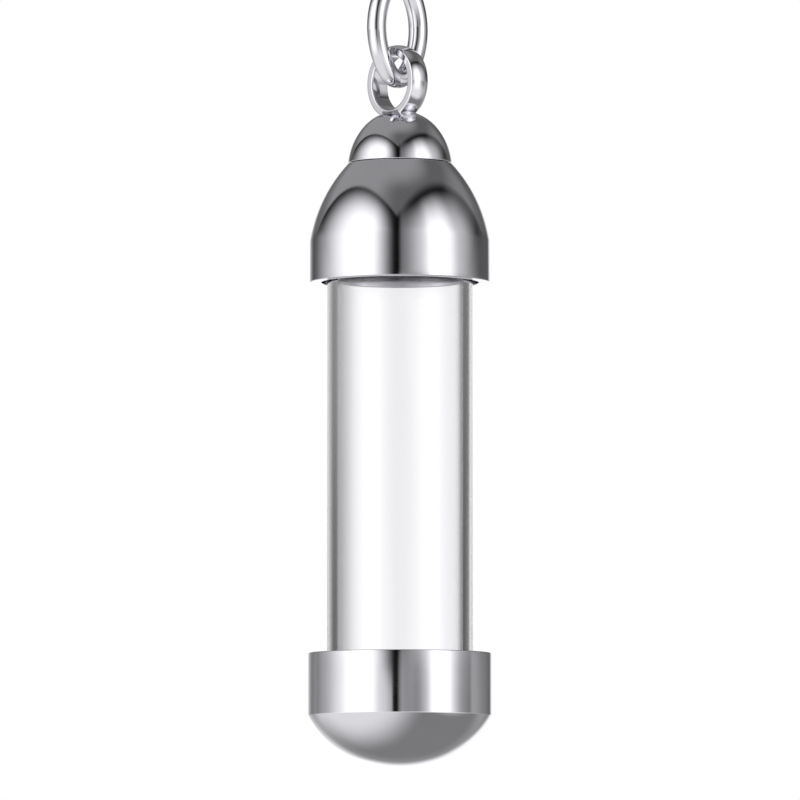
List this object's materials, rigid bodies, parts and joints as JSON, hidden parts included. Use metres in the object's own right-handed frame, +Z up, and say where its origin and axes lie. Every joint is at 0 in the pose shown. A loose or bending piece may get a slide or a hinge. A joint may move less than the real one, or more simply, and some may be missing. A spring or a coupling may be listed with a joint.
{
  "type": "bottle pendant",
  "caption": "Clear glass tube between two turned steel caps, with a screw stopper whose ring hangs on an oval link.",
  "frame": {"origin": "inner top of the oval link's opening, where the link hangs on its chain", "axes": "+Z up along the pendant's axis, -Y towards the picture's camera, +X to its right"},
  "size_m": [0.0102, 0.0102, 0.0445],
  "materials": {
    "polished_steel": "polished stainless steel",
    "clear_glass": "clear, smooth"
  },
  "bodies": {
    "link": {"oval_link": "polished_steel"},
    "stopper": {"stopper": "polished_steel"},
    "bottle": {"bell_cap": "polished_steel", "glass_tube": "clear_glass", "bottom_cap": "polished_steel"}
  },
  "joints": [
    {"name": "swing", "type": "hinge", "parent": "link", "child": "stopper", "pos_m": [0, 0, -0.00511], "axis": [0.766, 0.6428, 0], "range_deg": [-60, 60]},
    {"name": "unscrew", "type": "slide", "parent": "stopper", "child": "bottle", "axis": [0, 0, -1], "range_m": [0, 0.006]}
  ]
}
